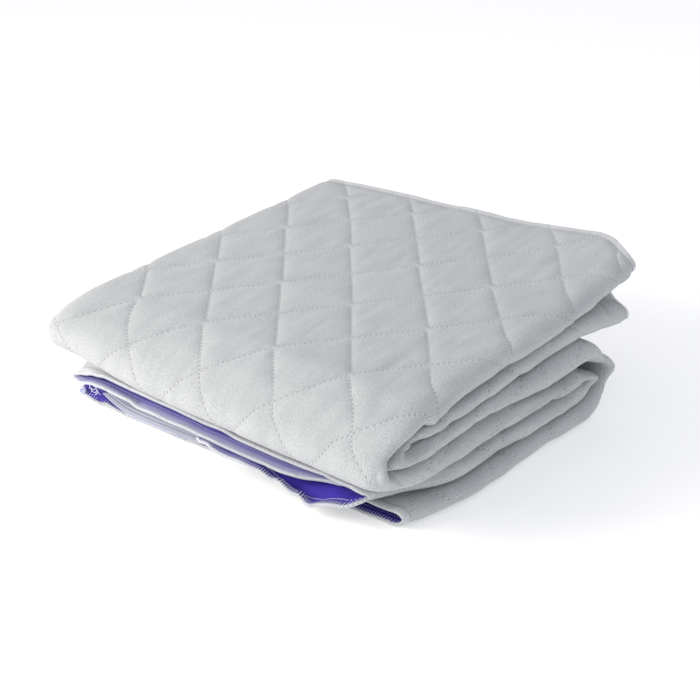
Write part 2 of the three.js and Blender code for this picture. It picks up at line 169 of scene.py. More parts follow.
# Main creases: ends of a line in the plan, how wide the crease is and how it pushes the cloth, all in mm
CREASES = [
    # Drag lines on the top
    ((31, -100, 144), (36, -140, 141), 5, (0, 0, -1.1)),
    ((158, -112, 140), (150, -148, 137), 5, (0, 0, -1.1)),
    ((98, -172, 138), (94, -196, 133), 4, (0, 0, -0.9)),
    ((114, -92, 143), (110, -114, 142), 4, (0, 0, -0.8)),
    ((174, -30, 148), (175, -75, 144), 5, (0, 0, -0.9)),
    ((94, -212, 124), (92, -234, 114), 4, (0, 0.4, -0.8)),
    # Tucks of the front right corner
    ((230, -172, 113), (232, -162, 112), 10, (4, 0, -7)),
    ((226, -188, 112), (236, -184, 104), 4.5, (-5, 0, 3)),
    ((222, -234, 90), (230, -228, 84), 4, (-4, 0, 1)),
    ((224, -214, 97), (231, -211, 90), 4, (-4, 0, 0)),
    ((222, -201, 98), (230, -198, 90), 4, (-2.5, 0, 0)),
    ((224, -228, 74), (231, -221, 64), 6, (-6, 0, 0)),
    ((222, -232, 86), (228, -232, 84), 9, (2, -7, -2)),
    ((226, -257, 84), (230, -254, 70), 5, (-2, 3, 0)),
    # Puckers of the right side
    ((229, -146, 113), (233, -142, 104), 4, (-3, 0, 0)),
    ((230, -80, 101), (236, -76, 92), 4, (-3, 0, 0)),
    ((236, 33, 92), (240, 37, 80), 5, (-3, 0, 0)),
    ((228, -35, 70), (236, -31, 58), 5, (-3, 0, 0)),
    ((226, 9, 120), (231, 13, 108), 4, (-2.5, 0, 0)),
    ((222, -49, 50), (232, -45, 36), 5, (-3, 0, 0)),
    # Puckers of the back right corner
    ((224, 148, 34), (234, 152, 24), 4, (-4, 0, -1)),
    ((228, 170, 40), (230, 174, 28), 4, (-3, -1, 0)),
    # Grooves where quilting lines run over the right side's folds
    ((237, -42, 89), (232, -34, 72), 4, (-3, 0, 0)),
    ((236, -167, 83), (235, -158, 65), 4, (-2.5, 0, 0)),
    ((228, -131, 32), (229, -130, 17), 4, (-2.5, 0, -0.5)),
    ((228, 54, 109), (231, 59, 98), 4, (-2.5, 0, 0)),
    ((237, -4, 139), (234, 0, 128), 4, (-2, 0, 0)),
    ((234, 103, 61), (235, 107, 50), 4, (-2.5, 0, 0)),
    ((230, -21, 37), (227, -10, 20), 4, (-2.5, 0, -0.5)),
    ((233, -123, 125), (231, -114, 113), 4, (-2.5, 0, 0)),
    ((234, -82, 93), (229, -66, 73), 4, (-2.5, 0, 0)),
    ((228, 44, 65), (224, 56, 50), 4, (-2.5, 0, 0)),
    # Folds of the sagging hem
    ((128, -247, 6), (140, -225, 22), 5, (0, -2, -1)),
    ((86, -243, 14), (110, -243, 10), 10, (0, 3, 10)),
    ((58, -241, 23), (72, -242, 19), 9, (0, 1, 3)),
    # Turned-up corner of the lowest layer
    ((-258, -206, 17), (-232, -206, 12), 8, (0, -3, -6)),
    ((-266, -190, 17), (-266, -165, 12), 9, (-3, 0, 11)),
    # Lie of the upper hems over it, and the tuck's nose
    ((-215, -230, 39), (-150, -232, 36), 9, (0, 0, 4)),
    ((-268, -224, 52), (-236, -224, 51), 9, (0, 0, -5)),
    ((-200, -224, 49), (-170, -224, 47), 8, (0, 0, 3)),
    ((-160, -223, 46), (130, -223, 41), 6, (0, 0, 2)),
    ((-46, -239, 26), (-26, -239, 26), 9, (0, 5, 1)),
]
# Mesh lines beside a hem, by their distance from its edge
HEM_LINES = np.array([1, 3, 5.5, 8, 9.5, 11, 13])
# Mesh lines along a whole diamond on the top, its bands, and the backing's mesh lines as a share of the
# face's
TOP_MESH, TOP_BANDS, BACKING_MESH = 28, (-14, 4), 0.6
# Shift of the quilting lines from the edges of their bands and how round they turn, as a share of a band
LINE_GAP, LINE_TURN = 0.012, 0.05

# Sizes of the patterns in mm. Real wales, threads and braid are half as wide or less, which is too fine
# to show from here, so these are drawn as coarse as they need to show
WALE, SLUB, FLECK, TONE, PULL = 1.9, (1.4, 3), 1.1, 45, (14, 65)
WEAVE, RUMPLE, PLY = 1.6, (18, 50), 0.9
BRAID, CORD, BRAID_FLECK, MOTTLE = 2.1, 6, 1.5, 400
# Needle holes from their middle to their rim, and half the width of the crease along a quilting line, in mm
NEEDLE_HOLE, LINE_CREASE = (0.35, 1.0), 3.2
# Distance in mm between the bands of a wave texture at a scale of 1
WAVE_BANDS = 314

# View of the stack: the camera's place in mm of the plan, its turn about the vertical and its tilt in degrees
CAMERA_PLACE = (959.15, -1178.1, 708.65)
CAMERA_TURN, CAMERA_TILT, CAMERA_LENS, CAMERA_SENSOR = 39.70, 22.86, 72.62, 36
# Place and size of the large lamp and the height that it points at, in metres
KEY_PLACE, KEY_SIZE, KEY_AIM = (-1.35, -1.55, 0.95), (1.2, 1.0), 0.1
# Size of the floor, how far it lies below zero, and the least height of the cloth, in metres
FLOOR_SIZE, FLOOR_DROP, LEAST_HEIGHT = 14, 0.0006, 0.0002


def linear(code):
    """Linear colour of an sRGB hex value."""
    parts = [int(code[i:i + 2], 16) / 255 for i in (0, 2, 4)]
    return tuple(p / 12.92 if p <= 0.04045 else ((p + 0.055) / 1.055) ** 2.4 for p in parts)


class ProtectorSizes(bpy.types.PropertyGroup):
    """Sizes of the quilting and the sewing"""

    # The threads are about twice as thick as real ones, which would be too fine to show
    diamond_x: bpy.props.FloatProperty(
        name="Diamond across", description="Corner to corner of a diamond, along the front fold",
        default=0.105, unit="LENGTH")
    diamond_y: bpy.props.FloatProperty(
        name="Diamond along", description="Corner to corner of a diamond, from front to back",
        default=0.125, unit="LENGTH")
    puff: bpy.props.FloatProperty(
        name="Puff", description="Rise of a diamond over its quilting lines", default=0.0024, unit="LENGTH")
    stitches: bpy.props.IntProperty(
        name="Stitches", description="Quilting stitches on one side of two diamonds", default=28)
    quilting_thread: bpy.props.FloatProperty(
        name="Quilting thread", description="Diameter of the quilting thread", default=0.0008, unit="LENGTH")
    loop_pitch: bpy.props.FloatProperty(
        name="Loop pitch", description="Distance between the overlock loops", default=0.0036, unit="LENGTH")
    loop_reach: bpy.props.FloatProperty(
        name="Loop reach", description="Width of the overlock seam", default=0.007, unit="LENGTH")
    loop_thread: bpy.props.FloatProperty(
        name="Overlock thread", description="Diameter of the overlock thread", default=0.001, unit="LENGTH")
    seam_inset: bpy.props.FloatProperty(
        name="Seam inset", description="Distance of the straight seam from the hem", default=0.0115,
        unit="LENGTH")
    hem_thick: bpy.props.FloatProperty(
        name="Hem thickness", description="Thickness of the overlocked edge", default=0.0038, unit="LENGTH")


class ProtectorColours(bpy.types.PropertyGroup):
    """Colours of the cloths and the threads"""

    knit: bpy.props.FloatVectorProperty(
        name="Knit", description="Brushed knit of the quilted face", subtype="COLOR",
        default=linear("CFD1D2"))
    knit_shade: bpy.props.FloatVectorProperty(
        name="Knit shade", description="Valleys between the stitches of the knit", subtype="COLOR",
        default=linear("ABAEB1"))
    # Painted shade: this dark colour stands in for the shade inside the needle holes
    needle_hole_shade: bpy.props.FloatVectorProperty(
        name="Needle hole", description="Shade of the needle holes", subtype="COLOR",
        default=linear("4E5054"))
    backing: bpy.props.FloatVectorProperty(
        name="Backing", description="Woven backing", subtype="COLOR", default=linear("4A38B8"))
    backing_shade: bpy.props.FloatVectorProperty(
        name="Backing shade", description="Threads of the backing that lie lower", subtype="COLOR",
        default=linear("352590"))
    backing_sheen: bpy.props.FloatVectorProperty(
        name="Backing sheen", description="Tint of the backing's sheen", subtype="COLOR",
        default=linear("9C8CF0"))
    fluff: bpy.props.FloatVectorProperty(
        name="Fluff", description="Loose fibres over the backing along its hems", subtype="COLOR",
        default=linear("D4D7EA"))
    thread: bpy.props.FloatVectorProperty(
        name="Thread", description="Overlock thread of the hems", subtype="COLOR", default=linear("EDEDF2"))
    # Pale grey thread, made paler still by a painted highlight for the light that the stitches catch
    quilting: bpy.props.FloatVectorProperty(
        name="Quilting thread", description="Thread of the quilting lines", subtype="COLOR",
        default=linear("E0E1E4"))
    elastic: bpy.props.FloatVectorProperty(
        name="Elastic", description="Corner elastic", subtype="COLOR", default=linear("EFF0FA"))
    elastic_shade: bpy.props.FloatVectorProperty(
        name="Elastic shade", description="Valleys of the corner elastic", subtype="COLOR",
        default=linear("AEB3D0"))


class ProtectorStage(bpy.types.PropertyGroup):
    """Floor and light"""

    floor: bpy.props.FloatVectorProperty(
        name="Floor", description="Colour of the floor", subtype="COLOR", default=linear("FAFAFA"))
    floor_mottle: bpy.props.FloatVectorProperty(
        name="Floor mottle", description="Shade of the floor's mottle", subtype="COLOR",
        default=linear("F8F8F8"))
    key: bpy.props.FloatProperty(
        name="Key light", description="Power of the large lamp on the left", default=41, unit="POWER")
    key_colour: bpy.props.FloatVectorProperty(
        name="Key colour", description="Colour of the large lamp", subtype="COLOR",
        default=linear("FFFAF2"))
    fill: bpy.props.FloatProperty(
        name="Fill", description="Strength of the light all round", default=0.75)
    fill_colour: bpy.props.FloatVectorProperty(
        name="Fill colour", description="Colour of the light all round", subtype="COLOR",
        default=linear("F8F9FD"))
    glow: bpy.props.FloatProperty(
        name="Floor glow", description="Light that comes up through the white floor", default=0.27)


def smooth(value, low, high):
    """Soft step from 0 at low to 1 at high."""
    part = np.clip((value - low) / (high - low), 0, 1)
    return part * part * (3 - 2 * part)


def smooth_min(a, b, reach):
    """Lesser of two values, rounded where they are closer than reach."""
    near = np.maximum(reach - np.abs(a - b), 0) / reach
    return np.minimum(a, b) - near ** 3 * reach / 6


def unit(vectors):
    """Vectors of length 1."""
    return vectors / np.maximum(np.linalg.norm(vectors, axis=-1, keepdims=True), 1e-9)


def soft_noise(x, y, seed):
    """Smooth noise from -1 to 1 over unit cells."""
    cells = np.random.default_rng(seed).uniform(-1, 1, (64, 64))
    column, row = np.floor(x).astype(int), np.floor(y).astype(int)
    right, up = smooth(x - column, 0, 1), smooth(y - row, 0, 1)
    low, high = (
        cells[column % 64, at % 64] * (1 - right) + cells[(column + 1) % 64, at % 64] * right
        for at in (row, row + 1))
    return low * (1 - up) + high * up


class FoldedCloth:
    """The cloth's course through the stack.

    m counts half diamonds across the strip, and u runs along it in mm.
    """

    def __init__(self, sizes):
        self.half_x = sizes.diamond_x * 500
        self.half_y = sizes.diamond_y * 500
        self.puff = sizes.puff * 1000
        self.hem = sizes.hem_thick * 500
        self.table, self.spans = self.course_table()
        self.first, self.last = self.table[0, 0], self.table[-1, 0]
        turn = LINES_PER_TURN * self.half_y
        thirds = [abs(third["to"] - third["from"]) for third in THIRDS]
        self.lengths = np.array([thirds[0], turn, thirds[1], turn, thirds[2]])
        self.starts = np.concatenate([[0], np.cumsum(self.lengths)])
        self.length = self.starts[-1]
        self.angles = np.linspace(0, math.pi, 65)
        roll = TURNS["front"][-1] * self.bulge(self.angles, NOSE[1])
        outline = np.stack([roll, ROLL_HEIGHT * np.cos(self.angles)], -1)
        steps = np.linalg.norm(np.diff(outline, axis=0), axis=-1)
        self.shares = np.concatenate([[0], np.cumsum(steps)]) / steps.sum()

    def course_table(self):
        """Rows of m, x, level, hem end and puff along the course, and its spans with their mesh lines."""
        m = -(CROSSING_X - LEFT + FLAP_EDGE - LEFT) / self.half_x
        rows, spans = [], []
        for i, layer in enumerate(LAYERS):
            way = math.copysign(1, layer["to"] - layer["from"])
            depths = [FOLD_DEPTH + FOLD_DEPTH_PER_LEVEL * abs(a["level"] - b["level"])
                      for a, b in zip(LAYERS, LAYERS[1:])]
            before = depths[i - 1] if i else 0
            after = depths[i] if i < len(depths) else 0
            start, end = layer["from"] + way * before, layer["to"] - way * after
            stop = m + abs(end - start) / self.half_x
            rows += [(place, x, layer["level"], layer["end"], 1) for place, x in ((m, start), (stop, end))]
            spans.append((m, stop, layer["mesh"]))
            m = stop
            if not after:
                continue
            following = LAYERS[i + 1]
            step = following["level"] - layer["level"]
            arc = math.pi * (after + LEVEL_PITCH * abs(step) / 2) / 2 / self.half_x
            outside = float(step * way < 0)
            for turn in np.linspace(0, math.pi, 25)[1:-1]:
                part = turn / math.pi
                rows.append((
                    m + arc * part, end + way * after * math.sin(turn),
                    layer["level"] + step * (1 - math.cos(turn)) / 2,
                    layer["end"] + (following["end"] - layer["end"]) * part, outside))
            spans.append((m, m + arc, 16))
            m += arc
        return np.array(rows), spans

    def course(self, m):
        """x, level, hem end and puff at m."""
        return [np.interp(m, self.table[:, 0], self.table[:, k]) for k in (1, 2, 3, 4)]

    def quilting_lines(self, level):
        """Half diamonds that a level passes on each run of the strip."""
        first = LINES_PER_TURN * level / TOP_LEVEL
        return [self.lengths[0] / self.half_y, first, self.lengths[2] / self.half_y,
                LINES_PER_TURN - first, self.lengths[4] / self.half_y]

    def along(self, u, level):
        """Quilting coordinate n of a place along the strip."""
        n = (BACK_HEM - CROSSING_Y) / self.half_y
        for start, length, lines in zip(self.starts, self.lengths, self.quilting_lines(level)):
            n = n - lines * np.clip((u - start) / length, 0, 1)
        return n

    def place_along(self, n, level):
        """Place along the strip of a quilting coordinate."""
        u, left = 0, (BACK_HEM - CROSSING_Y) / self.half_y - n
        for length, lines in zip(self.lengths, self.quilting_lines(level)):
            u = u + length * np.clip(left / np.maximum(lines, 1e-6), 0, 1)
            left = left - lines
        return u

    def bulge(self, angle, nose):
        """Share of its reach that a turn has at an angle."""
        return np.sin(angle) * (1 + nose * np.cos(angle)) / (1 + NOSE_REACH * nose ** 2)

    def even_place(self, m, u):
        """x, y and stack level in an even stack, how tight the turn is, and how open the puff."""
        x, level, end, open_side = self.course(m)
        run = np.clip(np.searchsorted(self.starts[1:-1], u, side="right"), 0, 4)
        third = run // 2
        base, sense, start, stop = (
            np.array([row[k] for row in THIRDS])[third] for k in ("base", "sense", "from", "to"))
        way = np.sign(stop - start)
        run_along = u - self.starts[run]
        turning = run % 2 == 1
        stack = base + sense * level
        middle = base - 0.5 - np.where(sense < 0, TOP_LEVEL, 0)
        radius = np.abs(stack - middle)
        angle = np.where(turning, np.interp(run_along / self.lengths[run], self.shares, self.angles), 0)
        flat = start + way * run_along
        eased = HEM_EASE + (self.back_hem(x) - HEM_EASE) * (flat - HEM_EASE) / (BACK_HEM - HEM_EASE)
        flat = np.where((third == 0) & (flat > HEM_EASE), eased, flat)
        second = 1 - np.minimum(1, np.abs(level - LAYERS[2]["level"]))
        flap = 1 - np.minimum(1, np.abs(level - LAYERS[0]["level"]))
        hem = FRONT_HEM + end + FLAP_SLIP * flap * smooth(x, *FLAP_SLIP_X) - SAG_REACH * self.sag(x) * second
        flat = np.where(third == 2, BACK_TURN + (hem - BACK_TURN) * run_along / self.lengths[4], flat)
        front, back, back_nose = (
            np.interp(radius, TURNS["level"], TURNS[k]) for k in ("front", "back", "nose"))
        reach = np.where(third == 0, front, back)
        nose = np.where(third == 0, NOSE[0] + (NOSE[1] - NOSE[0]) * smooth(x, *NOSE_X), back_nose)
        y = np.where(turning, stop + way * reach * self.bulge(angle, nose), flat)
        stack = np.where(turning, middle + (stack - middle) * np.cos(angle), stack)
        tight = (1 - np.clip(radius - TIGHT_TURN, 0, 1)) * smooth(np.sin(angle), 0, 0.6)
        return x, y, stack, np.where(turning, radius, STACK_LEVELS), open_side * (1 - tight)

    def back_hem(self, x):
        """Place of the back hem along X."""
        return BACK_HEM + HEM_SKEW * x - HEM_CORNER * smooth(x, HEM_CORNER_FROM, RIGHT) ** 2

    def sag(self, x):
        """How close a place along X is to the sag."""
        return np.exp(-((x - SAG_X) / SAG_WIDTH) ** 2)

    def settle(self, x, y, level):
        """The even stack pressed, leaned and slipped into its real shape."""
        across = np.clip((x - LEFT) / (RIGHT - LEFT), 0, 1)
        corner = smooth(x, CORNER_FROM_X, RIGHT) * smooth(y, CORNER_FROM_Y, BACK_HEM)
        left, front, right, open_corner = (
            np.interp(level, SHARES["level"], SHARES[k]) for k in ("left", "front", "right", "corner"))
        right = front + (right - front) * smooth(y, *FRONT_SIDE_Y)
        side = left + (right - left) * smooth(across, 0, 1)
        share = side + (open_corner - side) * corner
        height = TOP_HEIGHT + TOP_SLOPE_X * x + TOP_SLOPE_Y * y + CORNER_LIFT * corner - FACE
        low = 1 - smooth(level, SAG_FULL, SAG_NONE)
        sag = SAG_DROP * self.sag(x) * smooth(SAG_START - y, 0, SAG_RUN) * low
        wave = WAVE * np.sin(2 * math.pi * y / WAVE_LENGTH + WAVE_PER_LEVEL * level)
        drawn = DRAW_IN_LOWEST + (1 - DRAW_IN_LOWEST) * smooth(level, *DRAW_IN_FROM)
        draw_in = DRAW_IN * (drawn - smooth(level, *DRAW_IN_TO)) * smooth(-y, *DRAW_IN_Y)
        out = (np.interp(level, STAND_OUT["level"], STAND_OUT["out"]) + wave - draw_in) * across ** 2
        curl = CURL * smooth(-x, *CURL_X) ** 2 * smooth(-y, *CURL_Y) * (1 - smooth(level, 0, CURL_LEVELS))
        flap = smooth(level, 2, 3) * np.clip((5 - level) / 2, 0, 1)
        droop = FLAP_DROOP * flap * (1 - smooth(x, *FLAP_SLIP_X)) * smooth(-y, *FLAP_DROOP_Y)
        under = smooth(level, *FRONT_RISE_LEVELS[:2]) - smooth(level, *FRONT_RISE_LEVELS[1:])
        clear = FRONT_RISE[0] + (FRONT_RISE[1] - FRONT_RISE[0]) * smooth(x, *NOSE_X)
        rise = clear * under * smooth(-y, *FRONT_RISE_Y)
        return np.stack([x + out, y, FACE + share * height * (1 - sag) + curl - droop + rise], -1)

    def middle(self, m, u):
        """Middle of the cloth with its wavy hems, its wavy side and its main creases."""
        x, y, stack = self.even_place(m, u)[:3]
        point = self.settle(x, y, stack)
        hem = 1 - smooth(np.minimum(u, self.length - u), 0, HEM_WAVE_EDGE)
        hem_wave = soft_noise(m * self.half_x / HEM_WAVE_LENGTH, stack * HEM_WAVE_LEVELS, HEM_WAVE_SEED)
        side_wave = soft_noise(y / SIDE_WAVE_LENGTH, stack * SIDE_WAVE_LEVELS, SIDE_WAVE_SEED)
        point[..., 2] += HEM_WAVE * hem * hem_wave
        point[..., 0] += SIDE_WAVE * smooth(x, *SIDE_WAVE_X) * side_wave
        return point + self.creases(point)

    def creases(self, point):
        """How far the main creases push a point."""
        shift = np.zeros_like(point)
        for start, end, width, push in CREASES:
            line = np.subtract(end, start)
            away = point - start
            part = np.clip(away @ line / (line @ line), 0, 1)
            distance = np.sum((away - part[..., None] * line) ** 2, axis=-1)
            shift += np.exp(-distance / width ** 2)[..., None] * np.array(push)
        return shift

    def around(self, m, u):
        """Middle of the cloth with its face normal and its directions across and along the strip."""
        m, u = np.broadcast_arrays(m, u)
        step = 0.6
        across = self.middle(m + step / self.half_x, u) - self.middle(m - step / self.half_x, u)
        along = self.middle(m, u + step) - self.middle(m, u - step)
        return self.middle(m, u), unit(np.cross(along, across)), unit(across), unit(along)

    def line_distances(self, m, n):
        """Distances in mm from the two quilting lines of a band, which turn back at its edges."""
        a, b = m / 2, n / 2
        band = b - np.floor(b)
        wave = self.zigzag(a)
        slant = 2 * self.half_y * self.half_x / math.hypot(self.half_x, self.half_y)
        return np.abs(band - wave) * slant, np.abs(band - 1 + wave) * slant

    def zigzag(self, a):
        """Course of a quilting line between the edges of its band, from 0 to 1, rounded at its turns."""
        wave = np.abs((a + 1) % 2 - 1)
        wave = -smooth_min(-wave, -LINE_TURN / 2, LINE_TURN)
        return LINE_GAP + (1 - 2 * LINE_GAP) * smooth_min(wave, 1 - LINE_TURN / 2, LINE_TURN)

    def edge_distance(self, m, u):
        """Distance in mm to the nearest edge of the cloth."""
        sides = np.minimum(m - self.first, self.last - m) * self.half_x
        return np.minimum(sides, np.minimum(u, self.length - u))

    def face_rise(self, m, u):
        """Height of the face over the middle of the cloth."""
        x, y, stack, _, open_side = self.even_place(m, u)
        n = self.along(u, self.course(m)[1])
        near, far = self.line_distances(m, n)
        pillow = (1 - np.exp(-near / PUFF_RUN)) * (1 - np.exp(-far / PUFF_RUN))
        wrinkle = sum(
            height * soft_noise(m * self.half_x / across, n * self.half_y / along, seed)
            for height, across, along, seed in WRINKLES)
        plump = PUFF_INSIDE + (1 - PUFF_INSIDE) * smooth(stack, *PUFF_LEVELS)
        edge = self.edge_distance(m, u)
        outer = np.clip(1 - np.abs(self.course(m)[1] - TOP_LEVEL), 0, 1)
        loft = LOFT * np.maximum(outer, smooth(x, *LOFT_X)) * (1 - smooth(stack, *LOFT_LEVELS))
        lifted = np.clip(self.settle(x, y, stack)[..., 2] / FLOOR_PRESS, 0, 1)
        puff = (self.puff + wrinkle) * pillow * plump + loft
        ridge = (self.hem + HEM_MIDDLE - FACE) * (1 - smooth(edge, *HEM_RIDGE))
        groove = GROOVE * np.exp(-((edge - GROOVE_PLACE) / GROOVE_WIDTH) ** 2)
        return FACE + puff * open_side * lifted * smooth(edge, *PUFF_EDGE) + ridge - groove

    def backing_rise(self, m, u):
        """Height of the backing over the middle of the cloth."""
        thick = 1 - smooth(self.edge_distance(m, u), 0, HEM_THICKENING)
        return BACKING + (HEM_MIDDLE - self.hem - BACKING) * thick

    def raised(self, m, u, rise):
        """Points at a height over the middle of the cloth."""
        point, normal, _, _ = self.around(m, u)
        return point + normal * rise[..., None]


def settings():
    """The sizes, colours and stage that the panel shows."""
    scene = bpy.context.scene
    return scene.protector_sizes, scene.protector_colours, scene.protector_stage


def in_frame(points):
    """Millimetres of the stack's plan to metres in the frame, nothing under the floor."""
    placed = (np.asarray(points) - CENTRE) / 1000
    placed[..., 2] = np.maximum(placed[..., 2], LEAST_HEIGHT)
    return placed


def new_piece(name, points, faces, uv=None, fluff=None):
    """Mesh object from points in mm and triangles, with cloth coordinates in metres and shares of fluff."""
    mesh = bpy.data.meshes.new(name)
    mesh.from_pydata(in_frame(points).reshape(-1, 3).tolist(), [], faces.tolist())
    if uv is not None:
        corners = np.empty(len(mesh.loops), np.int32)
        mesh.loops.foreach_get("vertex_index", corners)
        layer = mesh.uv_layers.new(name="cloth")
        layer.data.foreach_set("uv", uv[corners].astype(np.float32).ravel())
    if fluff is not None:
        mesh.attributes.new("fluff", "FLOAT", "POINT").data.foreach_set("value", fluff)
    mesh.shade_smooth()
    piece = bpy.data.objects.new(name, mesh)
    bpy.context.scene.collection.objects.link(piece)
    return piece


def tubes(paths, radius, sides):
    """Points and faces of closed threads along paths of equal point count, tapered at both ends."""
    count, steps = paths.shape[:2]
    ahead = unit(np.gradient(paths, axis=1))
    chord = unit(paths[:, -1:] - paths[:, :1] + 1e-4)
    aside = unit(np.cross(ahead, np.broadcast_to(np.cross(chord, THREAD_SIDE), ahead.shape)))
    upward = np.cross(ahead, aside)
    angles = np.arange(sides) * 2 * math.pi / sides
    taper = np.ones(steps)
    taper[[0, -1]] = THREAD_TAPER
    ring = np.cos(angles)[:, None] * aside[:, :, None] + np.sin(angles)[:, None] * upward[:, :, None]
    points = paths[:, :, None] + radius * taper[None, :, None, None] * ring
    step, side = np.meshgrid(np.arange(steps - 1), np.arange(sides), indexing="ij")
    after = (side + 1) % sides
    quads = np.stack([step * sides + side, step * sides + after,
                      (step + 1) * sides + after, (step + 1) * sides + side], -1).reshape(-1, 4)
    firsts = np.stack([np.zeros(sides - 2, int), np.arange(2, sides), np.arange(1, sides - 1)], -1)
    lasts = (steps - 1) * sides + firsts[:, ::-1]
    triangles = np.concatenate([quads[:, [0, 1, 2]], quads[:, [0, 2, 3]], firsts, lasts])
    offsets = np.arange(count)[:, None, None] * steps * sides
    return points.reshape(-1, 3), (triangles[None] + offsets).reshape(-1, 3)


def mesh_lines(start, stop, lines):
    """Coordinates from start to stop that fall on the lines of a half diamond."""
    inner = np.arange(math.ceil(start * lines), math.floor(stop * lines) + 1) / lines
    inner = inner[(inner > start + 0.3 / lines) & (inner < stop - 0.3 / lines)]
    return np.concatenate([[start], inner, [stop]])


def cloth_columns(cloth, finer):
    """Coordinates m of the mesh lines across the strip."""
    parts = [
        mesh_lines(start, stop, max(2, round(lines * finer)))[:-1] for start, stop, lines in cloth.spans]
    return np.unique(np.concatenate([*parts, [cloth.last], cloth.last - HEM_LINES / cloth.half_x]))


def cloth_rows(cloth, finer):
    """Places u of the mesh lines along the strip; on the top third and its turn they fall on the quilting."""
    lines = round(TOP_MESH * finer)
    places = np.arange(*TOP_BANDS)[:, None] + LINE_GAP + (1 - 2 * LINE_GAP) * np.arange(lines + 1) / lines
    top = (BACK_HEM - CROSSING_Y) - 2 * places.ravel() * cloth.half_y
    parts = [[0.0], top[(top > HEM_LINES[-1] + 2) & (top < cloth.starts[2] - 1)]]
    for start, length, lines in zip(cloth.starts[2:], cloth.lengths[2:], LOWER_MESH):
        lower = mesh_lines(0, length / cloth.half_y, max(2, round(lines * finer)))[:-1]
        parts.append(start + lower * cloth.half_y)
    return np.unique(np.concatenate([*parts, [cloth.length], HEM_LINES, cloth.length - HEM_LINES]))


def sheet_faces(grid_rise, flip):
    """Triangles of a grid, each quad split along its quilting line."""
    count, rows = grid_rise.shape
    index = np.arange(count * rows).reshape(count, rows)
    a, b, c, d = index[:-1, :-1], index[:-1, 1:], index[1:, 1:], index[1:, :-1]
    low = grid_rise[:-1, :-1] + grid_rise[1:, 1:] < grid_rise[:-1, 1:] + grid_rise[1:, :-1]
    first = np.where(low[..., None], np.stack([a, b, c], -1), np.stack([b, c, d], -1))
    second = np.where(low[..., None], np.stack([a, c, d], -1), np.stack([b, d, a], -1))
    faces = np.concatenate([first.reshape(-1, 3), second.reshape(-1, 3)])
    return faces[:, ::-1] if flip else faces


def wall_faces(index, following):
    """Triangles between two closed rows of points."""
    a, b, c, d = index, np.roll(index, -1), np.roll(following, -1), following
    return np.concatenate([np.stack([b, a, d], -1), np.stack([b, d, c], -1)])


def edge_walk(columns, rows):
    """Grid places round the edge of the cloth, in order, with their way outwards across and along."""
    last_i, last_j = len(columns) - 1, len(rows) - 1
    walk = [(0, j) for j in range(last_j)] + [(i, last_j) for i in range(last_i)]
    walk += [(last_i, j) for j in range(last_j, 0, -1)] + [(i, 0) for i in range(last_i, 0, -1)]
    walk = np.array(walk)
    across = (walk[:, 0] == last_i).astype(float) - (walk[:, 0] == 0)
    along = (walk[:, 1] == last_j).astype(float) - (walk[:, 1] == 0)
    return walk, across, along


def cloth_uv(cloth, m, u):
    """Cloth coordinates in metres that the patterns follow."""
    n = cloth.along(u, cloth.course(m)[1])
    return np.stack([m * cloth.half_x, n * cloth.half_y], -1).reshape(-1, 2) / 1000


def add_node(tree, kind, inputs=None, output=0, **values):
    """Adds a node and returns one of its outputs; an input is a value, or the socket that feeds it."""
    node = tree.nodes.new(kind)
    for name, value in values.items():
        setattr(node, name, value)
    for name, value in (inputs or {}).items():
        if isinstance(value, bpy.types.NodeSocket):
            tree.links.new(value, node.inputs[name])
        else:
            node.inputs[name].default_value = value
    return node.outputs[output]


def new_material(name, roughness, sheen):
    """Material with a cloth shader; returns it with its tree and shader."""
    material = bpy.data.materials.new(name)
    material.use_nodes = True
    shader = material.node_tree.nodes["Principled BSDF"]
    shader.inputs["Roughness"].default_value = roughness
    shader.inputs["Sheen Weight"].default_value = sheen
    shader.inputs["Sheen Roughness"].default_value = 0.5
    shader.inputs["Specular IOR Level"].default_value = 0.25
    return material, material.node_tree, shader


def four(colour):
    """Colour with its alpha."""
    return (*colour, 1)


def finish_material(tree, shader, base, layers, height, strength, depth):
    """Gives a shader its base, other colours laid over it by their shares, and a relief, depth in mm."""
    colour = four(base)
    for share, over in layers:
        colour = add_node(
            tree, "ShaderNodeMix", {0: share, 6: colour, 7: four(over)}, output=2, data_type="RGBA")
    tree.links.new(colour, shader.inputs["Base Color"])
    bump = add_node(
        tree, "ShaderNodeBump", {"Strength": strength, "Distance": depth / 1000, "Height": height})
    tree.links.new(bump, shader.inputs["Normal"])


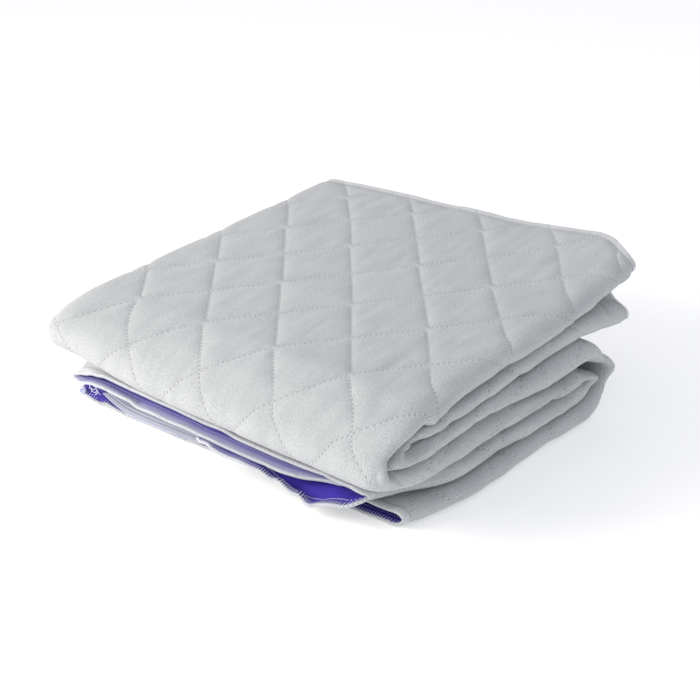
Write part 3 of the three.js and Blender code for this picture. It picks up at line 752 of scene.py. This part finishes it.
def quilted_knit():
    """Brushed polyester knit over wadding: soft and matt, fine wales that run from front to back, a crease
    and a row of needle holes with painted shade along each quilting line, and long faint wrinkles inside the
    diamonds."""
    sizes, colours, _ = settings()
    material, tree, shader = new_material("brushed polyester knit", 0.95, 0.06)
    cloth = add_node(tree, "ShaderNodeUVMap", uv_map="cloth")
    across, along, _ = add_node(tree, "ShaderNodeSeparateXYZ", {0: cloth}).node.outputs
    math_node = "ShaderNodeMath"
    a = add_node(tree, math_node, {0: across, 1: sizes.diamond_x}, operation="DIVIDE")
    b = add_node(tree, math_node, {0: along, 1: sizes.diamond_y}, operation="DIVIDE")
    band = add_node(tree, math_node, {0: b}, operation="FRACT")
    # The quilting line's zigzag across its band, as the mesh has it
    wave = a
    for operation, *values in (
            ("PINGPONG", 1.0),
            ("SMOOTH_MAX", LINE_TURN / 2, LINE_TURN),
            ("SMOOTH_MIN", 1 - LINE_TURN / 2, LINE_TURN),
            ("MULTIPLY_ADD", 1 - 2 * LINE_GAP, LINE_GAP)):
        wave = add_node(tree, math_node, dict(enumerate([wave, *values])), operation=operation)
    # Distance in mm from the nearer of the two lines of a band
    rising = add_node(tree, math_node, {0: band, 1: wave}, operation="SUBTRACT")
    falling = add_node(tree, math_node, {0: band, 1: wave}, operation="ADD")
    falling = add_node(tree, math_node, {0: falling, 1: 1.0}, operation="SUBTRACT")
    rising = add_node(tree, math_node, {0: rising}, operation="ABSOLUTE")
    falling = add_node(tree, math_node, {0: falling}, operation="ABSOLUTE")
    nearest = add_node(tree, math_node, {0: rising, 1: falling}, operation="MINIMUM")
    side = math.hypot(sizes.diamond_x, sizes.diamond_y)
    slant = 1000 * sizes.diamond_x * sizes.diamond_y / side
    nearest = add_node(tree, math_node, {0: nearest, 1: slant}, operation="MULTIPLY")
    # Distance in mm along the line from the nearest needle hole
    needle = a
    for operation, *values in (
            ("MULTIPLY", float(sizes.stitches)),
            ("FRACT",),
            ("SUBTRACT", 0.5),
            ("MULTIPLY", 1000 * side / sizes.stitches)):
        needle = add_node(tree, math_node, dict(enumerate([needle, *values])), operation=operation)
    hole = add_node(tree, "ShaderNodeCombineXYZ", {0: nearest, 1: needle})
    hole = add_node(tree, "ShaderNodeVectorMath", {0: hole}, output="Value", operation="LENGTH")
    hole = add_node(tree, "ShaderNodeMapRange", {
        "Value": hole, "From Min": NEEDLE_HOLE[0], "From Max": NEEDLE_HOLE[1], "To Min": 1.0, "To Max": 0.0})
    crease = add_node(tree, "ShaderNodeMapRange", {
        "Value": nearest, "From Min": 0.0, "From Max": LINE_CREASE, "To Min": 1.0, "To Max": 0.0},
        interpolation_type="SMOOTHERSTEP")
    wale = add_node(tree, "ShaderNodeTexWave", {
        "Vector": cloth, "Scale": WAVE_BANDS / WALE, "Distortion": 3.0, "Detail": 2.0, "Detail Scale": 1.6},
        wave_type="BANDS", bands_direction="X")
    fleck = add_node(tree, "ShaderNodeTexNoise", {"Vector": cloth, "Scale": 1000 / FLECK, "Detail": 1.0})
    tone = add_node(tree, "ShaderNodeTexNoise", {"Vector": cloth, "Scale": 1000 / TONE, "Detail": 2.0})
    drawn = []
    for wide, long in (SLUB, PULL):
        place = add_node(tree, "ShaderNodeMapping", {"Vector": cloth, "Scale": (1000 / wide, 1000 / long, 1)})
        drawn.append(add_node(tree, "ShaderNodeTexNoise", {"Vector": place, "Scale": 1.0, "Detail": 2.0}))
    slub, pull = drawn
    shade = 0.0
    for pattern, weight in ((wale, 0.15), (slub, 0.6), (fleck, 1.0), (tone, 0.2), (pull, 0.3)):
        shade = add_node(tree, math_node, {0: pattern, 1: weight, 2: shade}, operation="MULTIPLY_ADD")
    shade = add_node(tree, "ShaderNodeMapRange", {
        "Value": shade, "From Min": 0.81, "From Max": 1.35, "To Min": 0.0, "To Max": 1.0})
    height = 0.0
    for pattern, weight in (
            (wale, 0.06), (slub, 0.35), (fleck, 0.5), (pull, 0.9), (crease, -0.4), (hole, -0.5)):
        height = add_node(tree, math_node, {0: pattern, 1: weight, 2: height}, operation="MULTIPLY_ADD")
    # Painted shade in the needle holes: half of a hole's share darkens the knit
    hole = add_node(tree, math_node, {0: hole, 1: 0.5}, operation="MULTIPLY")
    fluff = add_node(tree, "ShaderNodeAttribute", output="Fac", attribute_name="fluff")
    layers = [(shade, colours.knit_shade), (hole, colours.needle_hole_shade), (fluff, colours.thread)]
    finish_material(tree, shader, colours.knit, layers, height, 0.8, 1.0)
    return material


def violet_weave():
    """Woven microfibre backing: deep violet, a soft satin sheen, fine threads, faint pulled lines, and pale
    loose fibres along its hems."""
    _, colours, _ = settings()
    material, tree, shader = new_material("violet microfibre weave", 0.62, 0.35)
    shader.inputs["Sheen Tint"].default_value = four(colours.backing_sheen)
    cloth = add_node(tree, "ShaderNodeUVMap", uv_map="cloth")
    warp, weft = (
        add_node(tree, "ShaderNodeTexWave", {
            "Vector": cloth, "Scale": WAVE_BANDS / WEAVE, "Distortion": 1.5, "Detail": 1.0},
            wave_type="BANDS", bands_direction=axis)
        for axis in "XY")
    place = add_node(tree, "ShaderNodeMapping", {
        "Vector": cloth, "Scale": (1000 / RUMPLE[0], 1000 / RUMPLE[1], 1)})
    rumple = add_node(tree, "ShaderNodeTexNoise", {"Vector": place, "Scale": 1.0, "Detail": 3.0})
    weave = add_node(tree, "ShaderNodeMath", {0: warp, 1: weft}, operation="MULTIPLY")
    shade = add_node(tree, "ShaderNodeMath", {0: rumple, 1: 0.7, 2: weave}, operation="MULTIPLY_ADD")
    fluff = add_node(tree, "ShaderNodeAttribute", output="Fac", attribute_name="fluff")
    height = add_node(tree, "ShaderNodeMath", {0: weave, 1: 0.12}, operation="MULTIPLY")
    height = add_node(tree, "ShaderNodeMath", {0: rumple, 1: 1.6, 2: height}, operation="MULTIPLY_ADD")
    layers = [(shade, colours.backing), (fluff, colours.fluff)]
    finish_material(tree, shader, colours.backing_shade, layers, height, 0.7, 1.0)
    return material


def spun_thread(name, colour, shade):
    """Spun polyester thread: matt, a fine twist and a little fluff."""
    material, tree, shader = new_material(name, 0.85, 0.3)
    place = add_node(tree, "ShaderNodeTexCoord", output="Object")
    ply = add_node(tree, "ShaderNodeTexNoise", {"Vector": place, "Scale": 1000 / PLY, "Detail": 1.0})
    finish_material(tree, shader, shade, [(ply, colour)], ply, 0.6, 0.3)
    return material


def ribbed_elastic():
    """Braided elastic tape: white, lengthwise cords with a fine braid across them."""
    _, colours, _ = settings()
    material, tree, shader = new_material("braided elastic tape", 0.8, 0.2)
    cloth = add_node(tree, "ShaderNodeUVMap", uv_map="cloth")
    braid = add_node(tree, "ShaderNodeTexWave", {
        "Vector": cloth, "Scale": WAVE_BANDS / BRAID, "Distortion": 1.2, "Detail": 1.0},
        wave_type="BANDS", bands_direction="X")
    cord = add_node(tree, "ShaderNodeTexWave", {
        "Vector": cloth, "Scale": WAVE_BANDS / CORD, "Distortion": 0.4},
        wave_type="BANDS", bands_direction="Y")
    shade = add_node(tree, "ShaderNodeTexNoise", {
        "Vector": cloth, "Scale": 1000 / BRAID_FLECK, "Detail": 2.0})
    for pattern, weight in ((braid, 0.3), (cord, 0.7)):
        shade = add_node(tree, "ShaderNodeMath", {0: pattern, 1: weight, 2: shade}, operation="MULTIPLY_ADD")
    shade = add_node(tree, "ShaderNodeMapRange", {"Value": shade, "From Min": 0.4, "From Max": 1.5})
    finish_material(tree, shader, colours.elastic_shade, [(shade, colours.elastic)], shade, 0.7, 0.4)
    return material


def pale_floor():
    """Matt studio paper: near white with a faint mottle, and a glow of its own that lifts it to white."""
    _, _, stage = settings()
    material, tree, shader = new_material("matt studio paper", 0.95, 0.0)
    place = add_node(tree, "ShaderNodeTexCoord", output="Object")
    mottle = add_node(tree, "ShaderNodeTexNoise", {"Vector": place, "Scale": 1000 / MOTTLE, "Detail": 2.0})
    colour = add_node(
        tree, "ShaderNodeMix", {0: mottle, 6: four(stage.floor), 7: four(stage.floor_mottle)}, output=2,
        data_type="RGBA")
    tree.links.new(colour, shader.inputs["Base Color"])
    shader.inputs["Emission Color"].default_value = four(linear("FFFFFF"))
    shader.inputs["Emission Strength"].default_value = stage.glow
    return material


def dress(piece, material):
    """Gives a piece its material and its body."""
    piece.data.materials.append(material)
    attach(piece, "root")


class PROTECTOR_OT_quilted_face(bpy.types.Operator):
    """Folds the quilted face with its rounded hem"""

    bl_idname = "protector.quilted_face"
    bl_label = "Quilted face"

    def execute(self, context):
        cloth = FoldedCloth(settings()[0])
        columns, rows = cloth_columns(cloth, 1), cloth_rows(cloth, 1)
        m, u = np.broadcast_arrays(columns[:, None], rows[None, :])
        point, normal, across, along = cloth.around(m, u)
        near, far = cloth.line_distances(m, cloth.along(u, cloth.course(m)[1]))
        top = point + normal * cloth.face_rise(m, u)[..., None]
        walk, side, front = edge_walk(columns, rows)
        at = (walk[:, 0], walk[:, 1])
        outward = unit(across[at] * side[:, None] + along[at] * front[:, None])
        edge = np.ravel_multi_index(at, m.shape)
        points, faces = [top.reshape(-1, 3)], [sheet_faces(np.minimum(near, far), False)]
        index = edge
        for ring, angle in enumerate(np.radians(HEM_RINGS)):
            rise = HEM_MIDDLE + cloth.hem * math.cos(angle)
            points.append(point[at] + outward * cloth.hem * math.sin(angle) + normal[at] * rise)
            following = np.arange(len(walk)) + m.size + len(walk) * ring
            faces.append(wall_faces(index, following))
            index = following
        uv = cloth_uv(cloth, m, u)
        uv = np.concatenate([uv] + [uv[edge]] * len(HEM_RINGS))
        fluff = HEM_THREAD * (1 - smooth(cloth.edge_distance(m, u), *HEM_THREAD_EDGE)).ravel()
        rim = RIM_LOW + (RIM_HIGH - RIM_LOW) * smooth(cloth.course(m)[1][at], *RIM_LEVELS)
        fluff = np.concatenate([fluff] + [rim] * len(HEM_RINGS))
        piece = new_piece("quilted_face_cloth", np.concatenate(points), np.concatenate(faces), uv, fluff)
        dress(piece, quilted_knit())
        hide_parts("quilted_face")
        return {"FINISHED"}


class PROTECTOR_OT_backing(bpy.types.Operator):
    """Folds the backing under the quilted face"""

    bl_idname = "protector.backing"
    bl_label = "Backing"

    def execute(self, context):
        cloth = FoldedCloth(settings()[0])
        columns, rows = cloth_columns(cloth, BACKING_MESH), cloth_rows(cloth, BACKING_MESH)
        m, u = np.broadcast_arrays(columns[:, None], rows[None, :])
        under = cloth.raised(m, u, cloth.backing_rise(m, u))
        edge = cloth.edge_distance(m, u)
        flap = np.clip(1 - np.abs(cloth.course(m)[1] - LAYERS[0]["level"]), 0, 1)
        fluff = (FIBRES + FLAP_FIBRES * flap) * (1 - smooth(edge, *FIBRES_EDGE))
        # The flap is also paler towards its hem over a wider band
        fluff = np.clip(fluff + FLAP_BAND * flap * (1 - smooth(edge, *FLAP_BAND_EDGE)), 0, 1).ravel()
        faces = sheet_faces(np.zeros(m.shape), True)
        piece = new_piece("backing_cloth", under, faces, cloth_uv(cloth, m, u), fluff)
        dress(piece, violet_weave())
        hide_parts("backing")
        return {"FINISHED"}


class PROTECTOR_OT_quilting_stitches(bpy.types.Operator):
    """Sews the quilting stitches along the zigzag lines and the seam along the back hem"""

    bl_idname = "protector.quilting_stitches"
    bl_label = "Quilting stitches"

    def execute(self, context):
        sizes, colours, _ = settings()
        cloth = FoldedCloth(sizes)
        count = sizes.stitches
        places = np.arange(math.ceil(cloth.first / 2 * count), math.floor(cloth.last / 2 * count)) / count
        grid = np.meshgrid(places, np.arange(*STITCH_BANDS), (0, 1), indexing="ij")
        a, band, rising = (axis.reshape(-1, 1) for axis in grid)
        a = a + np.linspace(-QUILTING_HALF, QUILTING_HALF, len(QUILTING_RISE)) / count
        wave = cloth.zigzag(a)
        n = 2 * (band + np.where(rising == 1, wave, 1 - wave))
        u = cloth.place_along(n, cloth.course(2 * a)[1])
        middle = len(QUILTING_RISE) // 2
        x, y, stack, turn, open_side = cloth.even_place(2 * a[:, middle], u[:, middle])
        shows = (stack > STITCH_TOP) | (x > STITCH_RIGHT) | (x < STITCH_LEFT)
        shows |= (turn < STACK_LEVELS) & (turn > STITCH_TURNS)
        clear = cloth.edge_distance(2 * a[:, middle], u[:, middle]) > STITCH_EDGE
        clear &= (open_side > STITCH_OPEN) & (cloth.settle(x, y, stack)[:, 2] > STITCH_FLOOR)
        a, u = a[shows & clear], u[shows & clear]
        lines = [cloth.raised(2 * a, u, cloth.face_rise(2 * a, u) + QUILTING_RISE)]
        # The seam along the back hem, twice the hem's thickness from its edge
        pitch = sizes.loop_pitch * 1000 / cloth.half_x
        m = np.arange(cloth.first + 0.2, cloth.last - 0.2, pitch)[:, None]
        m = m + np.linspace(-SEAM_HALF, SEAM_HALF, len(SEAM_RISE)) * pitch
        u = np.full_like(m, sizes.hem_thick * 2000)
        lines.append(cloth.raised(m, u, cloth.face_rise(m, u) + SEAM_RISE))
        threads, faces = tubes(np.concatenate(lines), sizes.quilting_thread * 500, 5)
        piece = new_piece("quilting_stitches", threads, faces)
        dress(piece, spun_thread("grey spun thread", colours.quilting, colours.knit))
        return {"FINISHED"}


class PROTECTOR_OT_hem_sewing(bpy.types.Operator):
    """Sews the overlock loops and the straight line along the hems"""

    bl_idname = "protector.hem_sewing"
    bl_label = "Hem sewing"

    def execute(self, context):
        sizes, colours, _ = settings()
        cloth = FoldedCloth(sizes)
        pitch, reach = sizes.loop_pitch * 1000, sizes.loop_reach * 1000
        radius, inset = sizes.loop_thread * 500, sizes.seam_inset * 1000
        wide = cloth.hem + 0.25
        # Points of a loop, out from the edge, up and along it in pitches, and of a stitch, along and up
        loop = [(-reach, 0.3 - wide, -0.5), (-reach * 0.5, -wide, -0.2), (0, -wide, 0.1),
                (wide * 0.8, -wide * 0.6, 0.2), (wide, 0, 0.2), (wide * 0.9, wide * 0.4, 0.3)]
        stitch = [(-0.42, 0.1), (-0.2, -0.3), (0.2, -0.3), (0.42, 0.1)]
        across = np.arange(cloth.first + 0.05, cloth.last - 0.05, pitch / cloth.half_x)
        along = np.arange(4, cloth.length - 4, pitch)
        edges = [
            (across, np.zeros_like(across), 0, -1),
            (across, np.full_like(across, cloth.length), 0, 1),
            (np.full_like(along, cloth.last), along, 1, 0),
        ]
        loops, seam, bold = [], [], []
        for m, u, side, front in edges:
            sagging = np.abs(cloth.course(m)[1] - LAYERS[2]["level"]) < 0.5
            bold.append(sagging & (u > 0))
            point, normal, right, ahead = cloth.around(m, u)
            outward = unit(right * side + ahead * front)
            ahead = unit(np.cross(outward, normal)) * pitch
            loops.append(np.stack([
                point + outward * out + normal * (rise + HEM_MIDDLE) + ahead * slip
                for out, rise, slip in loop], 1))
            inner_m, inner_u = m - side * inset / cloth.half_x, u - front * inset
            point, normal, _, _ = cloth.around(inner_m, inner_u)
            under = cloth.backing_rise(inner_m, inner_u)[:, None]
            seam.append(np.stack([
                point + normal * (under + rise) + ahead * slip for slip, rise in stitch], 1))
        t = np.linspace(0, 1, THREAD_END_POINTS)
        ends = []
        for x, y, lift, curl, turns in THREAD_ENDS:
            angle = 2 * math.pi * turns * t + x
            bed = cloth.settle(np.full_like(t, x), np.full_like(t, y), np.zeros_like(t))
            ends.append(bed + np.stack([
                curl * np.cos(angle) + THREAD_END_RUN[0] * t, THREAD_END_RUN[1] * t,
                lift + curl * np.sin(angle)], -1))
        loops, seam, bold = np.concatenate(loops), np.concatenate(seam), np.concatenate(bold)
        threads = [
            (loops[bold], radius),
            (loops[~bold], radius * OTHER_LOOP),
            (seam[bold], radius * SAG_SEAM),
            (seam[~bold], radius * OTHER_SEAM),
            (np.stack(ends), radius),
        ]
        points, faces, count = [], [], 0
        for paths, thread in threads:
            thread_points, thread_faces = tubes(paths, thread, 4)
            points.append(thread_points)
            faces.append(thread_faces + count)
            count += len(thread_points)
        piece = new_piece("hem_sewing", np.concatenate(points), np.concatenate(faces))
        dress(piece, spun_thread("white spun thread", colours.thread, colours.fluff))
        return {"FINISHED"}


class PROTECTOR_OT_corner_strap(bpy.types.Operator):
    """Lays the corner elastic with its lengthwise cords"""

    bl_idname = "protector.corner_strap"
    bl_label = "Corner strap"

    def execute(self, context):
        cloth = FoldedCloth(settings()[0])
        corners = np.arange(len(STRAP_FRONT))
        t = np.linspace(0, corners[-1], STRAP_STEPS + 1)
        blur = np.hanning(23) / np.hanning(23).sum()
        edges = []
        for edge in (STRAP_FRONT, STRAP_BACK):
            for places in zip(*edge):
                line = np.pad(np.interp(t, corners, places), 11, mode="reflect", reflect_type="odd")
                edges.append(np.convolve(line, blur, mode="valid"))
        front, back = np.stack(edges[:2], -1), np.stack(edges[2:], -1)
        v = np.linspace(0, 1, STRAP_RIBS + 1)
        plan = front[:, None] + (back - front)[:, None] * v[None, :, None]
        cord = CORD_HEIGHT * np.cos(2 * math.pi * CORDS * v) * np.sin(math.pi * v)
        crown = STRAP_THICK * (0.55 + 0.45 * np.sin(math.pi * v) ** 0.4)
        x, y = plan[..., 0], plan[..., 1]
        bed = cloth.settle(x, y, np.zeros_like(x))[..., 2] - BACKING + STRAP_GAP
        bottom = np.stack([x, y, bed], -1)
        top = np.stack([x, y, bed + crown + cord], -1)
        turn = np.linspace(0, 1, 16)
        angle = math.pi * (1 + 2 * COIL_TURNS * turn)
        reach = COIL_REACH[0] + (COIL_REACH[1] - COIL_REACH[0]) * turn
        coil = COIL_PLACE + np.stack([reach * np.cos(angle), COIL_RUN * turn, reach * np.sin(angle)], -1)
        coil, coil_faces = tubes(coil[None], COIL_ROLL, 8)
        faces = sheet_faces(np.zeros(x.shape), True)
        walk, _, _ = edge_walk(t, v)
        index = np.ravel_multi_index((walk[:, 0], walk[:, 1]), x.shape)
        sides = wall_faces(index, index + x.size)[:, ::-1]
        uv = np.broadcast_arrays(t[:, None] * STRAP_LENGTH / corners[-1], v[None, :] * STRAP_WIDTH)
        uv = np.stack(uv, -1).reshape(-1, 2)
        piece = new_piece(
            "corner_elastic", np.concatenate([top.reshape(-1, 3), bottom.reshape(-1, 3), coil]),
            np.concatenate([faces, faces[:, ::-1] + x.size, sides, coil_faces + 2 * x.size]),
            np.concatenate([uv, uv, np.zeros((len(coil), 2))]))
        dress(piece, ribbed_elastic())
        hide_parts("corner_strap")
        return {"FINISHED"}


class PROTECTOR_OT_stage(bpy.types.Operator):
    """Sets the pale floor, the soft light and the camera"""

    bl_idname = "protector.stage"
    bl_label = "Stage"

    def execute(self, context):
        stage = settings()[2]
        scene = context.scene
        bpy.ops.object.select_all(action="DESELECT")
        bpy.ops.mesh.primitive_plane_add(size=FLOOR_SIZE, location=(0, 0, -FLOOR_DROP))
        floor = context.object
        floor.name = "floor"
        bpy.ops.object.transform_apply(location=True)
        floor.data.materials.append(pale_floor())
        bpy.ops.object.light_add(type="AREA", location=KEY_PLACE)
        key = context.object
        key.name = "key_light"
        key.data.shape = "RECTANGLE"
        key.data.size, key.data.size_y = KEY_SIZE
        key.data.energy = stage.key
        key.data.color = stage.key_colour
        x, y, z = KEY_PLACE
        key.rotation_euler = (math.atan2(math.hypot(x, y), z - KEY_AIM), 0, math.atan2(x, -y))
        world = bpy.data.worlds.new("studio")
        world.use_nodes = True
        background = world.node_tree.nodes["Background"]
        background.inputs["Color"].default_value = four(stage.fill_colour)
        background.inputs["Strength"].default_value = stage.fill
        scene.world = world
        scene.view_settings.view_transform = "Standard"
        turned = (math.radians(90 - CAMERA_TILT), 0, math.radians(CAMERA_TURN))
        bpy.ops.object.camera_add(location=in_frame(CAMERA_PLACE), rotation=turned)
        camera = context.object
        camera.name = "camera"
        camera.data.lens = CAMERA_LENS
        camera.data.sensor_width = CAMERA_SENSOR
        scene.camera = camera
        return {"FINISHED"}


class PROTECTOR_PT_panel(bpy.types.Panel):
    """Lists the sizes, the colours and the pieces"""

    bl_idname = "PROTECTOR_PT_panel"
    bl_label = "Mattress protector"
    bl_space_type = "VIEW_3D"
    bl_region_type = "UI"
    bl_category = "Protector"

    def draw(self, context):
        for group in settings():
            for name in group.__annotations__:
                self.layout.prop(group, name)
        for operator in OPERATORS:
            self.layout.operator(operator.bl_idname)


GROUPS = {
    "protector_sizes": ProtectorSizes,
    "protector_colours": ProtectorColours,
    "protector_stage": ProtectorStage,
}
OPERATORS = (
    PROTECTOR_OT_quilted_face,
    PROTECTOR_OT_backing,
    PROTECTOR_OT_quilting_stitches,
    PROTECTOR_OT_hem_sewing,
    PROTECTOR_OT_corner_strap,
    PROTECTOR_OT_stage,
)


def register():
    for name, group in GROUPS.items():
        bpy.utils.register_class(group)
        setattr(bpy.types.Scene, name, bpy.props.PointerProperty(type=group))
    for operator in OPERATORS:
        bpy.utils.register_class(operator)
    bpy.utils.register_class(PROTECTOR_PT_panel)


def unregister():
    bpy.utils.unregister_class(PROTECTOR_PT_panel)
    for operator in reversed(OPERATORS):
        bpy.utils.unregister_class(operator)
    for name, group in GROUPS.items():
        delattr(bpy.types.Scene, name)
        bpy.utils.unregister_class(group)


def main():
    register()
    bpy.ops.protector.quilted_face()
    bpy.ops.protector.backing()
    bpy.ops.protector.quilting_stitches()
    bpy.ops.protector.hem_sewing()
    bpy.ops.protector.corner_strap()
    bpy.ops.protector.stage()


if __name__ == "__main__":
    main()
